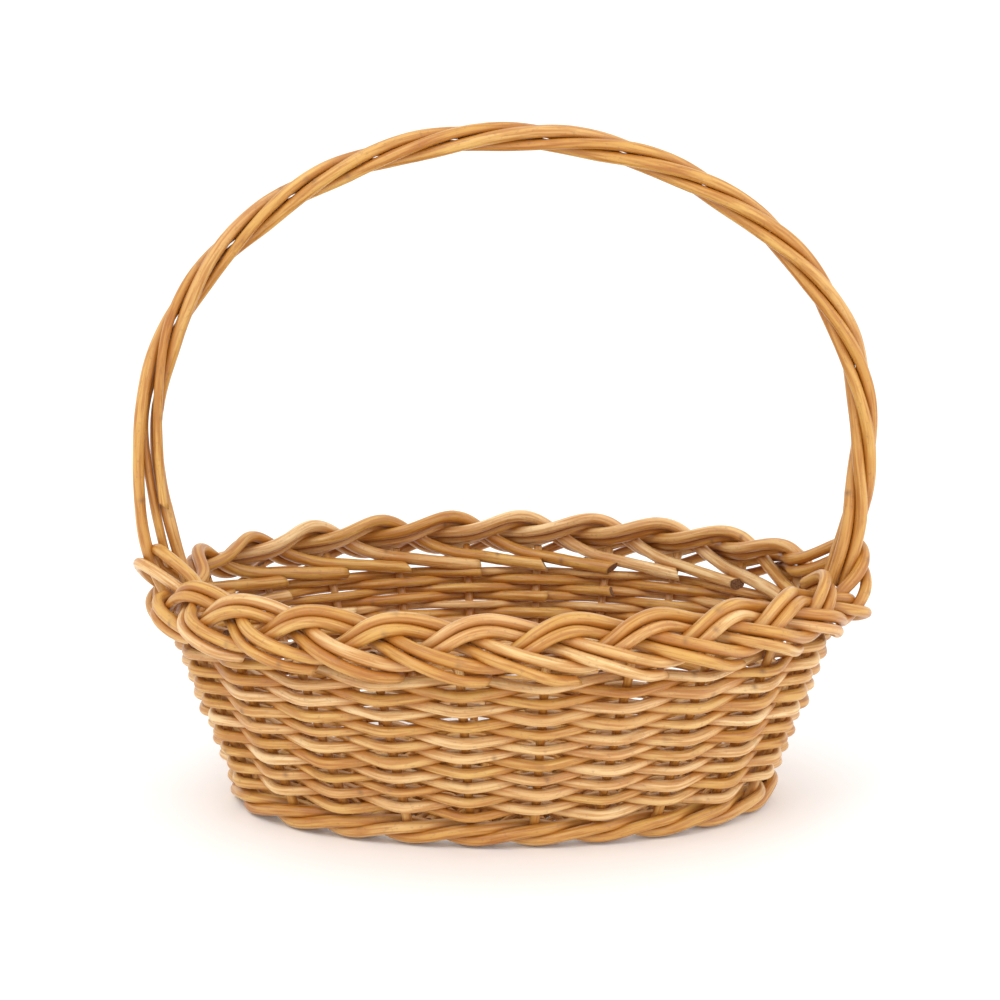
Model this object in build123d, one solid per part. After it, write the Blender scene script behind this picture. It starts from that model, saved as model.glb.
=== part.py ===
from build123d import *
import math
import os

import numpy as np

# Oval willow market basket with a fixed roped hoop handle.
# Millimetres, +Z up, +X along the basket and across the handle, the front towards -Y.
# The origin is on the floor under the middle of the base.
# Every rod is its own solid: a centre line rounded at each bend, swept with its round section.

# ---- driving dimensions ----
STAKES = 22              # uprights around the wall, one at each end of the long axis
GAP = 0.3                # air left between rods that bear on each other

FOOT_LENGTH = 297.0      # oval on which the stakes turn up, between centre lines
FOOT_WIDTH = 162.0
FOOT_Z = 7.7             # height of the base frame and of the stakes' feet
TOP_LENGTH = 366.0       # oval through the stake tips
TOP_WIDTH = 252.0
STAKE_TIP_Z = 116.5

STAKE_D = 5.0
FOOT_INSET = 32.0        # how far each foot runs into the base
ROW_D = 3.9              # fine rods of the wall weave
ROW_COUNT = 18
ROW_FIRST_Z = 24.0
ROW_PITCH_Z = 4.3
WALE_D = 5.4             # three thick rods around the bottom edge
WALE_LOW_Z = 2.7
WALE_HIGH_Z = 15.6
WALE_BACK_Z = 14.8
WALE_SLACK = 0.9

BORDER_D = 6.0           # rods of the plaited border
BORDER_Z = 121.5         # middle of the plait
BORDER_OUT = 1.5         # middle of the plait beyond the wall line
BORDER_TILT = 50.0       # degrees between the plait's width and the floor
BORDER_REACH = 11.5      # swing of a strand either side of the plait's middle
BORDER_THICK = 6.0       # swing of a strand through the plait's thickness
BORDER_PAIR = 3.3        # the two rods of a strand either side of its middle
BORDER_SPAN = 1.82       # full cycles that one rod stays in the plait
BORDER_JOINS = 0.75      # stake spacings from a rod's stake to where it joins a strand
BORDER_STEP = 3.0        # spacing of the points along a border rod
# Which way a border rod is drawn where it passes a handle leg: the stake spacings from the
# rod's own stake to the leg, then how far out through the plait, then how far up across it.
LEG_DRAWS = ((1, 16.0, -1.0), (2, -8.0, 0.0), (3, 0.0, -2.0), (4, 15.0, 0.5), (5, -8.0, 0.0))

HANDLE_D = 6.0
HANDLE_HALF_WIDTH = 197.5
HANDLE_SPRING_Z = 206.5  # where the legs turn into the arch
HANDLE_RISE = 164.7
HANDLE_LEG_DRAW = 14.5   # how far each leg draws in towards the border
HANDLE_LEAN = 2.5        # how far the hoop stands over to the right
HANDLE_LEAN_RISE = 60.0  # height over which it comes to stand so
HANDLE_ENTRY_Z = 122.5
HANDLE_LAY = 184.0       # length of one full turn of the roping
HANDLE_ROPE_R = 4.65     # rod centre lines from the middle of the rope
LEG_FOOT_Z = 55.0        # lower ends of the two rods that stand in the weave
LEG_OFFSET = 5.8         # those rods beside the end stake

# Where each handle rod stands at the border: outward of the leg's line, and along Y.
LEFT_STANCE = ((5.5, -6.2), (1.5, 3.5), (-5.5, 6.2), (-4.5, -3.5))
RIGHT_STANCE = ((6.6, 5.2), (-1.0, 6.0), (-1.0, -6.0), (6.6, -5.2))
LEFT_BOW = (9.0, 0.0, 0.0, 0.0)          # the outer rod stands off the others half way up
LEFT_STOP_Z = (0.0, 136.0, 0.0, 161.0)   # ends above the border, or 0 for one that goes on down
RIGHT_STOP_Z = (114.5, 0.0, 0.0, 114.5)  # ends within the plait
ROPE_LEFT = 150.0        # length of the left leg over which the rods close up
ROPE_RIGHT = 75.0
LAY_START = math.radians(40) - 2 * math.pi * 110 / HANDLE_LAY

STICK_D = 7.0            # slit cross sticks of the base
LONG_STICK_D = 4.4
SLIT_HEIGHT = 4.8
BASE_ROD_D = 2.8
BASE_FIRST_INSET = 12.5
BASE_ROUND_PITCH = 7.2   # inset gained by one weaver in one round
BASE_SLACK = 1.0
BASE_RODS_EACH = 3       # rods laid end to end in each of the two chasing weaves
BASE_CROSSINGS = 44      # stick crossings made by one base rod

FULL = 2 * math.pi


# ---- curves ----
def oval_table(half_length, half_width, steps=1440):
    """Points of an ellipse and the running length up to each."""
    turn = np.linspace(0, FULL, steps + 1)
    x = half_length * np.cos(turn)
    y = half_width * np.sin(turn)
    run = np.concatenate([[0], np.cumsum(np.hypot(np.diff(x), np.diff(y)))])
    return x, y, run


def oval_point(half_length, half_width, share):
    """Point of an ellipse at a share of its length, anticlockwise from +X, and its whole length."""
    x, y, run = oval_table(half_length, half_width)
    at = (share % 1.0) * run[-1]
    return np.interp(at, run, x), np.interp(at, run, y), run[-1]


def wall_half_sizes(z):
    """Half length and half width of the oval of stake centres at height z."""
    rise = (z - FOOT_Z) / (STAKE_TIP_Z - FOOT_Z)
    half_length = FOOT_LENGTH / 2 + rise * (TOP_LENGTH - FOOT_LENGTH) / 2
    half_width = FOOT_WIDTH / 2 + rise * (TOP_WIDTH - FOOT_WIDTH) / 2
    return half_length, half_width


def wall_point(share, z):
    x, y, _ = oval_point(*wall_half_sizes(z), share)
    return np.array([x, y, z])


def wall_girth(z):
    return oval_point(*wall_half_sizes(z), 0)[2]


def unit(v):
    return v / np.linalg.norm(v)


def wall_out(share, z):
    """Unit direction square to the wall, outwards."""
    along = wall_point(share + 0.001, z) - wall_point(share - 0.001, z)
    up = wall_point(share, z + 1) - wall_point(share, z - 1)
    return unit(np.cross(along, up))


def smooth(value):
    """0 below 0, 1 above 1, with an even curve between."""
    value = min(max(value, 0.0), 1.0)
    return value * value * (3 - 2 * value)


def rod(points, diameter, share=0.46):
    """A round rod along the points, every bend rounded by an arc tangent to both sides."""
    corners = [Vector(*[float(c) for c in p]) for p in points]
    edges = []
    start = corners[0]
    for before, here, after in zip(corners, corners[1:], corners[2:]):
        into = (here - before).normalized()
        onward = (after - here).normalized()
        bend = math.acos(max(-1.0, min(1.0, into.dot(onward))))
        if bend < math.radians(0.1):
            continue
        cut = share * min((here - before).length, (after - here).length)
        radius = cut / math.tan(bend / 2)
        middle = here + (onward - into).normalized() * radius * (1 / math.cos(bend / 2) - 1)
        begin = here - into * cut
        finish = here + onward * cut
        edges.append(Line(start, begin).edge())
        edges.append(ThreePointArc(begin, middle, finish).edge())
        start = finish
    edges.append(Line(start, corners[-1]).edge())
    path = Wire(edges)
    section = Plane(origin=path @ 0, z_dir=path % 0) * Circle(diameter / 2)
    return sweep(sections=section, path=path)


# ---- base: sticks, feet of the stakes and the weave around them ----
def on_inset_oval(share, inset):
    """Point on the base at a share of the oval that lies a distance in from the foot oval."""
    x, y, _ = oval_point(FOOT_LENGTH / 2 - inset, FOOT_WIDTH / 2 - inset, share)
    return np.array([x, y, FOOT_Z])


def inset_point(index, inset, aside=0.0):
    """Point beside stick line `index`, a distance in from the edge and `aside` square to the line."""
    here = on_inset_oval(index / STAKES, inset)
    inwards = unit(on_inset_oval(index / STAKES, inset + 1) - here)
    return here + np.array([inwards[1], -inwards[0], 0]) * aside


def ring_point(index, inset, aside):
    """Point on the oval at this inset, `aside` square to stick line `index`."""
    share = index / STAKES
    here = on_inset_oval(share, inset)
    inwards = unit(on_inset_oval(share, inset + 1) - here)
    girth = oval_point(FOOT_LENGTH / 2 - inset, FOOT_WIDTH / 2 - inset, 0)[2]
    along = unit(on_inset_oval(share + 0.001, inset) - on_inset_oval(share - 0.001, inset))
    square = abs(inwards[1] * along[0] - inwards[0] * along[1])
    return on_inset_oval(share + aside / square / girth, inset)


FOOT_ASIDE = -2.4        # foot's inner end, sideways from its stake line
STICK_ASIDE = 6.6        # outer end of a stick, sideways from the same line
STICK_END_INSET = 10.0
STICK_STRAIGHT_INSET = 44.0
SLIT_PITCH = LONG_STICK_D + GAP
INNER_INSET = 61.0


def foot_aside(inset):
    return FOOT_ASIDE * inset / FOOT_INSET


def stick_aside(inset):
    """A stick lies beside the foot near the edge and comes back to the line further in."""
    if inset <= FOOT_INSET:
        return foot_aside(inset) + STICK_ASIDE
    back = (inset - FOOT_INSET) / (STICK_STRAIGHT_INSET - FOOT_INSET)
    return (FOOT_ASIDE + STICK_ASIDE) * (1 - smooth(back))


def stick_end(index):
    """Points of one end of a stick, from its tip inwards."""
    insets = (STICK_END_INSET, 14.0, 24.0, FOOT_INSET, 38.0, STICK_STRAIGHT_INSET, INNER_INSET)
    return [inset_point(index, inset, stick_aside(inset)) for inset in insets]


def long_stick(index):
    """One of the three sticks along the base, numbered -1, 0 and 1 across it."""
    middle_y = index * SLIT_PITCH
    slit_x = inset_point(2, INNER_INSET)[0] + STICK_D
    straight = [np.array([slit_x, middle_y, FOOT_Z]), np.array([-slit_x, middle_y, FOOT_Z])]
    far = stick_end(STAKES // 2 - index)
    return rod(stick_end(index) + straight + far[::-1], LONG_STICK_D)


def cross_stick(index):
    """A short stick across the base, slit in the middle for the three long ones."""
    stick = rod(stick_end(index) + stick_end(-index)[::-1], STICK_D)
    x = inset_point(index, INNER_INSET)[0]
    slit = Box(3 * STICK_D, 3 * SLIT_PITCH + GAP, SLIT_HEIGHT)
    return stick - Pos(x, 0, FOOT_Z) * slit


def base_weaver(order, first):
    """One rod of the base weave: over and under the sticks, working inwards."""
    points = []
    last = first + BASE_CROSSINGS
    for count in range(first, last + 1):
        inset = BASE_FIRST_INSET + BASE_ROUND_PITCH * (count / STAKES + order / 2)
        index = count % STAKES
        near_end = min(index % (STAKES // 2), STAKES // 2 - index % (STAKES // 2)) <= 1
        stick_r = (LONG_STICK_D if near_end else STICK_D) / 2
        if inset < FOOT_INSET + 6:
            thick = max(stick_r, STAKE_D / 2)
            middle = (foot_aside(inset) + stick_aside(inset)) / 2
            half = STICK_ASIDE / 2 + 1.3
        else:
            thick = stick_r
            middle = stick_aside(inset)
            half = 4.7 if inset < INNER_INSET - 12 else 2.2
        lift = thick + BASE_ROD_D / 2 + GAP + BASE_SLACK
        side = 1 if (count + order) % 2 else -1
        for shift in (-half, half):
            if count == first and shift < 0:
                shift = 0.5
            if count == last and shift > 0:
                shift = -0.5
            point = ring_point(index, inset, middle + shift)
            points.append(point + np.array([0, 0, side * lift]))
    return rod(points, BASE_ROD_D)


# ---- wall: stakes, bottom wale and rows ----
def stake(index):
    """An upright: its foot in the base, a turn at the edge, then straight up the wall."""
    share = index / STAKES
    feet = [inset_point(index, inset, foot_aside(inset)) for inset in (FOOT_INSET, 20.0, 12.0)]
    turned = [wall_point(share, FOOT_Z), wall_point(share, FOOT_Z + 20)]
    return rod(feet + turned + [wall_point(share, STAKE_TIP_Z)], STAKE_D, 0.48)


def crossing(index, z):
    """Half length of a row's flat run past stake `index`, and the half thickness it clears."""
    index = index % STAKES
    if index in (0, STAKES // 2) and z > LEG_FOOT_Z - 3:
        return LEG_OFFSET + 3.8, HANDLE_D / 2
    return 3.2, STAKE_D / 2


def wall_row(number):
    """A row of the wall: in front of one stake and behind the next, its ends inside the wall."""
    z = ROW_FIRST_Z + ROW_PITCH_Z * number
    girth = wall_girth(z)
    first = (7 * number + 1) % STAKES
    points = []
    for count in range(first, first + STAKES + 1):
        half, thick = crossing(count, z)
        side = 1 if (count + number) % 2 == 0 else -1
        lift = thick + ROW_D / 2 + GAP
        shifts = [-half, 0, half] if half > 5 else [-half, half]
        if count == first:
            shifts = [1.0, half]
        if count == first + STAKES:
            shifts = [-half, -1.0]
        for shift in shifts:
            share = count / STAKES + shift / girth
            points.append(wall_point(share, z) + wall_out(share, z) * side * lift)
    return rod(points, ROW_D, 0.4)


WALE_STARTS = (2, 23, 44, 68)   # crossings at which one wale rod ends and the next begins


def wale_rod(number):
    """One of three rods that go outside two stakes, rising, then behind the third."""
    lift = STAKE_D / 2 + WALE_D / 2 + GAP + WALE_SLACK
    places = ((WALE_LOW_Z, lift), (WALE_HIGH_Z, lift), (WALE_BACK_Z, -lift))
    points = []
    first, last = WALE_STARTS[number], WALE_STARTS[number + 1]
    for count in range(first, last + 1):
        z, out = places[count % 3]
        girth = wall_girth(z)
        half = 4.0 if out < 0 else 2.5
        shifts = [-half, half]
        if count == first:
            shifts = [0.6, half]
        if count == last:
            shifts = [-half, -0.6]
        for shift in shifts:
            share = count / STAKES + shift / girth
            level = wall_out(share, z) * np.array([1, 1, 0])
            points.append(wall_point(share, z) + unit(level) * out)
    return rod(points, WALE_D, 0.44)


# ---- handle: four rods roped together over the arch ----
def handle_line(steps):
    """Points up the left leg, over the arch and down the right leg, evenly spaced."""
    leg = []
    for z in np.linspace(HANDLE_ENTRY_Z, HANDLE_SPRING_Z, 60):
        drop = (HANDLE_SPRING_Z - z) / (HANDLE_SPRING_Z - HANDLE_ENTRY_Z)
        leg.append((-HANDLE_HALF_WIDTH + HANDLE_LEG_DRAW * drop ** 2, z))
    arch = []
    for turn in np.linspace(math.pi, math.pi / 2, 200)[1:]:
        x = HANDLE_HALF_WIDTH * math.cos(turn)
        arch.append((x, HANDLE_SPRING_Z + HANDLE_RISE * math.sin(turn)))
    left = np.array(leg + arch)
    right = left[::-1][1:] * np.array([-1, 1])
    line = np.vstack([left, right])
    line[:, 0] += [HANDLE_LEAN * smooth((z - HANDLE_ENTRY_Z) / HANDLE_LEAN_RISE) for z in line[:, 1]]
    run = np.concatenate([[0], np.cumsum(np.hypot(*np.diff(line, axis=0).T))])
    at = np.linspace(0, run[-1], steps)
    return np.column_stack([np.interp(at, run, line[:, 0]), np.interp(at, run, line[:, 1])]), at



def leg_foot(side, y):
    """Points of a rod standing in the weave beside the end stake, lowest first."""
    centre = 0.0 if side > 0 else 0.5
    points = []
    for z in (LEG_FOOT_Z, 78.0, 101.0):
        share = centre + side * y / wall_girth(z)
        points.append(wall_point(share, z))
    return points


def handle_rod(number, steps=64):
    line, at = handle_line(steps)
    whole = at[-1]
    points = []
    for k in range(steps):
        ahead = line[min(k + 1, steps - 1)] - line[max(k - 1, 0)]
        ahead = ahead / np.hypot(*ahead)
        outward = np.array([-ahead[1], 0, ahead[0]])
        turn = LAY_START + FULL * at[k] / HANDLE_LAY + number * FULL / 4
        roped = np.array([math.sin(turn), -math.cos(turn)]) * HANDLE_ROPE_R
        to_left = 1 - smooth(at[k] / ROPE_LEFT)
        to_right = 1 - smooth((whole - at[k]) / ROPE_RIGHT)
        left = np.array(LEFT_STANCE[number])
        left = left + np.array([LEFT_BOW[number] * math.sin(math.pi * min(at[k] / ROPE_LEFT, 1)), 0])
        right = np.array(RIGHT_STANCE[number])
        out, aside = roped * (1 - to_left - to_right) + left * to_left + right * to_right
        here = np.array([line[k][0], 0, line[k][1]])
        points.append(here + outward * out + np.array([0, aside, 0]))
    half = steps // 2
    points = [p for k, p in enumerate(points) if k > half or p[2] > LEFT_STOP_Z[number]]
    half = len(points) - half
    points = [p for k, p in enumerate(points) if k < half or p[2] > RIGHT_STOP_Z[number]]
    if LEFT_STOP_Z[number] == 0:
        points = leg_foot(-1, math.copysign(LEG_OFFSET, LEFT_STANCE[number][1])) + points
    if RIGHT_STOP_Z[number] == 0:
        points = points + leg_foot(1, math.copysign(LEG_OFFSET, RIGHT_STANCE[number][1]))[::-1]
    return points


# ---- border: a flat plait of three, its rods settled against each other ----
def border_place(share, across, thick):
    """Point of the plait: `across` its width towards the inner edge, `thick` outwards."""
    centre = wall_point(share, BORDER_Z)
    ahead = wall_point(share + 0.001, BORDER_Z) - wall_point(share - 0.001, BORDER_Z)
    out = unit(np.array([ahead[1], -ahead[0], 0]))
    up = np.array([0, 0, 1.0])
    tilt = math.radians(BORDER_TILT)
    width = -out * math.cos(tilt) + up * math.sin(tilt)
    face = out * math.sin(tilt) + up * math.cos(tilt)
    return centre + out * BORDER_OUT + width * across + face * thick


def border_rod_line(index):
    """Centre line of the border rod whose butt lies inside stake `index`."""
    spacing = wall_girth(BORDER_Z) / STAKES
    leaves = BORDER_JOINS + 3 * BORDER_SPAN
    starts = 0.42 if index % (STAKES // 2) == 0 else -0.16
    points = []
    for steps in np.arange(starts, leaves, BORDER_STEP / spacing):
        cycles = (steps - BORDER_JOINS) / 3
        turn = FULL * (cycles + 0.75)
        # above its fellow on the first cycle, below it on the second
        fellow = BORDER_PAIR * (1 - 2 * smooth((cycles - 0.76) / 0.22))
        across = BORDER_REACH * math.cos(turn) + fellow
        thick = -BORDER_THICK * math.sin(2 * turn)
        blend = smooth((BORDER_JOINS + 0.1 - steps) / BORDER_JOINS)
        across = across * (1 - blend) + blend * -3.0
        thick = thick * (1 - blend) + blend * -17.0
        # its tip is tucked in behind the plait
        thick -= 4.0 * smooth((cycles - BORDER_SPAN + 0.22) / 0.2)
        # past the handle's legs the rod is drawn to its own side of them
        for ahead, draw, lift in LEG_DRAWS:
            if (index + ahead) % (STAKES // 2) == 0:
                near = 1 - smooth((abs(steps - ahead) - 0.28) / 0.35)
                thick += draw * near
                across += lift * near
        points.append(border_place((index + steps) / STAKES, across, thick))
    return np.array(points)


def resample(points, step):
    points = np.array(points)
    run = np.concatenate([[0], np.cumsum(np.linalg.norm(np.diff(points, axis=0), axis=1))])
    at = np.linspace(0, run[-1], max(2, int(run[-1] / step) + 1))
    return np.column_stack([np.interp(at, run, points[:, k]) for k in range(3)])


def settle(lines, radius, still, still_radius, rounds=500):
    """Let rods that press into each other, or into fixed ones, move apart a little at a time."""
    count = [len(line) for line in lines]
    spots = np.vstack(lines)
    owner = np.repeat(np.arange(len(lines)), count)
    home = spots.copy()
    everything = np.vstack([spots, still])
    size = np.concatenate([np.full(len(spots), radius), still_radius])
    label = np.concatenate([owner, np.full(len(still), -1)])
    near_i, near_j = [], []
    for i in range(len(spots)):
        away = np.linalg.norm(everything[i + 1:] - spots[i], axis=1)
        close = np.where((away < 18) & (label[i + 1:] != owner[i]))[0] + i + 1
        near_i.append(np.full(len(close), i))
        near_j.append(close)
    i, j = np.concatenate(near_i), np.concatenate(near_j)
    need = size[i] + size[j] + GAP + 0.65
    both = np.where(j < len(spots), 0.5, 1.0)
    loose = j < len(spots)
    for _ in range(rounds):
        everything[:len(spots)] = spots
        apart = everything[i] - everything[j]
        away = np.linalg.norm(apart, axis=1)
        short = np.clip(need - away, 0, 1.0)
        move = apart / away[:, None] * (short * both)[:, None]
        push = np.zeros_like(spots)
        weight = np.full(len(spots), 1e-6)
        np.add.at(push, i, move)
        np.add.at(weight, i, (short > 0) * 1.0)
        np.add.at(push, j[loose], -move[loose])
        np.add.at(weight, j[loose], (short[loose] > 0) * 1.0)
        spots = spots + push / np.maximum(weight, 1)[:, None] * 1.2
        shift = spots - home
        for rod_number in range(len(lines)):
            mine = owner == rod_number
            one = shift[mine]
            even = one.copy()
            even[1:-1] = (one[:-2] + one[2:] + 2 * one[1:-1]) / 4
            even[0] = (one[0] + one[1]) / 2
            even[-1] = (one[-1] + one[-2]) / 2
            shift[mine] = even
        spots = home + shift
    return [spots[owner == n] for n in range(len(lines))]


handle_lines = [resample(handle_rod(n), 3.0) for n in range(4)]
handle_lines = settle(handle_lines, HANDLE_D / 2, np.zeros((0, 3)), np.zeros(0), 60)
border_lines = [border_rod_line(n) for n in range(STAKES)]
stake_tips = [resample([wall_point(n / STAKES, 101), wall_point(n / STAKES, STAKE_TIP_Z)], 2.0)
              for n in range(STAKES)]
leg_ends = []
for line in handle_lines:
    dense = resample(line, 2.0)
    leg_ends.append(dense[(dense[:, 2] > 96) & (dense[:, 2] < 154)])
still = np.vstack(stake_tips + leg_ends)
still_radius = np.concatenate([np.full(sum(map(len, stake_tips)), STAKE_D / 2),
                               np.full(sum(map(len, leg_ends)), HANDLE_D / 2)])
border_lines = settle(border_lines, BORDER_D / 2, still, still_radius)


# ---- build and write ----
os.makedirs("parts", exist_ok=True)


def write(name, solids):
    shape = solids[0] if len(solids) == 1 else Compound(children=list(solids))
    shape.label = name
    export_step(shape, f"parts/{name}.step")


half_turn = STAKES // 2
for n in range(half_turn):
    write(f"stake_pair_{n + 1:02d}", [stake(n), stake(n + half_turn)])
for n in range(3):
    write(f"bottom_wale_rod_{n + 1}", [wale_rod(n)])
for n in range(ROW_COUNT):
    write(f"wall_row_{n + 1:02d}", [wall_row(n)])
for n in range(half_turn):
    pair = [rod(border_lines[k][::2], BORDER_D) for k in (n, n + half_turn)]
    write(f"border_rod_pair_{n + 1:02d}", pair)
for n in range(4):
    write(f"handle_rod_{n + 1}", [rod(handle_lines[n][::3], HANDLE_D)])
for n in (-1, 0, 1):
    write(f"base_long_stick_{n + 2}", [long_stick(n)])
for n in range(2, 6):
    write(f"base_cross_stick_pair_{n - 1}", [cross_stick(n), cross_stick(half_turn - n)])
for order in range(2):
    for n in range(BASE_RODS_EACH):
        write(f"base_weaver_{order * BASE_RODS_EACH + n + 1}",
              [base_weaver(order, n * BASE_CROSSINGS)])
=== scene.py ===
import math

import bpy
import numpy as np
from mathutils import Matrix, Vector
from mathutils.kdtree import KDTree


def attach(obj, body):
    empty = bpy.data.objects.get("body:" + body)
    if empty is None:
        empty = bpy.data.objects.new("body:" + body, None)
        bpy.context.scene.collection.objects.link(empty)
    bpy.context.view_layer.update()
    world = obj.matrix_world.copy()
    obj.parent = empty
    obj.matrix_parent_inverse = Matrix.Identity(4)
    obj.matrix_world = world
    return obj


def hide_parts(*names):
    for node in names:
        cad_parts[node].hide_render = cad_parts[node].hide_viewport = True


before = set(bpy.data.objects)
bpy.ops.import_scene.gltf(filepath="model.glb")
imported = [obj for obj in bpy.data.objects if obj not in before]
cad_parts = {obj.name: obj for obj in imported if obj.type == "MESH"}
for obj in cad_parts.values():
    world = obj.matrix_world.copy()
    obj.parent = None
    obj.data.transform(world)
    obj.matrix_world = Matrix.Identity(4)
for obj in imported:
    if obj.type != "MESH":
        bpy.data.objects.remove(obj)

# Oval willow basket. Each rod is built as its own tube that tapers, wanders and has leaf scars,
# along nearly the same centre lines as the CAD rods. Lengths here are in millimetres; MM turns
# them into the frame's metres when a mesh is made.

MM = 0.001
FULL = 2 * math.pi
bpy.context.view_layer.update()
rng = np.random.default_rng(41)

# ---- driving dimensions: the CAD's, with thicker rods, rows further apart and a flatter border ----
STAKES = 22
HALF = STAKES // 2
GAP = 0.3
FOOT_LENGTH, FOOT_WIDTH, FOOT_Z = 297.0, 162.0, 7.7
TOP_LENGTH, TOP_WIDTH, STAKE_TIP_Z = 366.0, 252.0, 116.5
STAKE_D, FOOT_INSET = 5.0, 32.0
ROW_D, ROW_COUNT, ROW_FIRST_Z, ROW_PITCH_Z = 5.1, 18, 20.6, 4.78
WALE_D, WALE_LOW_Z, WALE_HIGH_Z, WALE_BACK_Z, WALE_SLACK = 6.4, 3.6, 11.6, 10.6, 0.5
BORDER_D, BORDER_Z, BORDER_OUT, BORDER_TILT = 6.0, 121.5, 1.5, 50.0
BORDER_REACH, BORDER_THICK, BORDER_PAIR, BORDER_STEP = 10.2, 5.4, 3.3, 3.0
BORDER_JOINS, BORDER_FLAT = 1.75, 0.8
# The way of a border rod before it joins and after it leaves: stake spacings from its own
# stake, place across the plait, place through it, and how wholly it keeps to this way.
LANE = ((-0.12, -1.2, -19.2, 1), (0.55, -1.8, -17.4, 1), (1.15, -2.6, -14.4, 1), (1.45, -2.0, -9.5, 0.5),
        (1.85, -3.0, -7.0, 0), (6.90, -14.8, -1.0, 0), (7.18, -12.0, -5.5, 0.8), (7.40, -8.5, -8.5, 1))
LEG_DRAWS = ((0, -4.0, 0.0), (1, -3.5, 0.0), (2, 16.0, -1.0), (3, -8.0, 0.0), (4, 0.0, -2.0),
             (5, 15.0, 0.5), (6, -8.0, 0.0))
FELLOW_SWAPS, FELLOW_SWAP_LENGTH = 0.76, 0.22   # turns of the plait from upper to lower rod
LEG_DRAW_FLAT, LEG_DRAW_FADE = 0.28, 0.35       # stake spacings drawn round a handle leg
HANDLE_D, HANDLE_HALF_WIDTH, HANDLE_SPRING_Z, HANDLE_RISE = 6.0, 197.5, 206.5, 164.7
HANDLE_LEG_DRAW, HANDLE_ENTRY_Z, HANDLE_LAY, HANDLE_ROPE_R = 14.5, 122.5, 184.0, 4.65
HANDLE_LEAN, HANDLE_LEAN_RISE = 2.5, 60.0
LEG_FOOT_Z, LEG_OFFSET = 55.0, 5.8
STICK_D, LONG_STICK_D = 7.0, 4.4
BASE_ROD_D, BASE_FIRST_INSET, BASE_ROUND_PITCH, BASE_SLACK = 2.8, 12.5, 7.2, 1.0
BASE_RODS_EACH, BASE_CROSSINGS = 3, 44
FOOT_ASIDE, STICK_ASIDE, STICK_END_INSET, STICK_STRAIGHT_INSET = -2.4, 6.6, 10.0, 44.0
SLIT_PITCH, INNER_INSET = LONG_STICK_D + GAP, 61.0
STICK_BENDS, STAKE_FOOT_BENDS = (14.0, 24.0, 38.0), (20.0, 12.0)
WEAVER_CLASP_OVER_PAIR, WEAVER_CLASP_OUTER, WEAVER_CLASP_INNER, WEAVER_END_GAP = 1.3, 4.7, 2.2, 0.5
WALE_STARTS = (2, 23, 44, 68)
STAKE_BEND_RISE, STAKE_BEND_Z, LEG_BENDS_Z = 20, 60.0, (78.0, 101.0)
LEFT_STANCE = ((5.5, -6.2), (1.5, 3.5), (-5.5, 6.2), (-4.5, -3.5))
RIGHT_STANCE = ((6.6, 5.2), (-1.0, 6.0), (-1.0, -6.0), (6.6, -5.2))
LEFT_BOW = (9.0, 0.0, 0.0, 0.0)
LEFT_STOP_Z = (0.0, 129.0, 0.0, 161.0)
RIGHT_STOP_Z = (114.5, 0.0, 0.0, 114.5)
ROPE_LEFT, ROPE_RIGHT = 150.0, 75.0
LAY_START = math.radians(40) - FULL * 110 / HANDLE_LAY

# ---- how the visible rods differ from even, level ones ----
ROW_LEVEL = np.array([1, 1, 0.5])   # a rod bulges out nearly level, not square to the wall
ROW_DIP = 0.5                       # how far a rod dips where it is pulled round a stake
ROW_SPRING = 0.6                    # how far it springs off the stake
ROW_RODS = (0, 8, 16, 22)           # crossings at which one rod of a row follows another
ROW_BUTT_BACK, ROW_BUTT_IN, ROW_BUTT_LIES, ROW_TIP_PAST = 7.5, 3.0, 2.2, 2.0
ROW_CLASP, LEG_CLASP = 3.2, 3.8     # half the length over which a rod hugs a stake, a handle leg
WALE_INSIDE_CLASP, WALE_OUTSIDE_CLASP, WALE_END_GAP = 4.0, 2.5, 0.6
# blur of the bends, spacing of the points, size of the slow bends of each sort of rod
STAKE_EASE, WALE_EASE, ROW_EASE = (3.0, 3.0, 0.35), (8.0, 2.5, 0.35), (4.6, 2.2, 0.42)
BORDER_EASE, HANDLE_EASE = (7.0, 2.0, 0.4), (5.0, 2.5, 0.35)
STICK_EASE, WEAVER_EASE = (3.0, 4.0), (2.2, 1.8)
# butt and tip radius, sides of the tube, spacing of the leaf scars, slant of the cuts
STAKE_LOOK = dict(butt_r=2.7, tip_r=2.35, sides=14, knots=34.0)
WALE_LOOK = dict(butt_r=3.55, tip_r=3.1, sides=18, knots=70.0)
LONG_STICK_LOOK = dict(butt_r=2.25, tip_r=2.15, sides=14)
CROSS_STICK_LOOK = dict(butt_r=3.5, tip_r=3.4, sides=16)
WEAVER_LOOK = dict(butt_r=1.5, tip_r=1.3, sides=12)
ROW_BUTT_R, ROW_TIP_R, ROW_SPREAD = 3.2, 2.5, 0.10
ROW_LOOK = dict(sides=14, knots=55.0)
BORDER_BUTT_R, BORDER_TIP_R, BORDER_THIN, BORDER_THICKER = 3.75, 2.9, 0.95, 1.06
BORDER_LOOK = dict(sides=20, slant=0.8, knots=60.0)
HANDLE_LOOK = dict(sides=20, slant=0.9, knots=85.0)
HANDLE_RADII = ((3.3, 3.3), (2.5, 3.5), (3.5, 3.3), (2.5, 3.5))
HANDLE_TONES = (0.38, 0.22, 0.5, 0.3)
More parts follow.
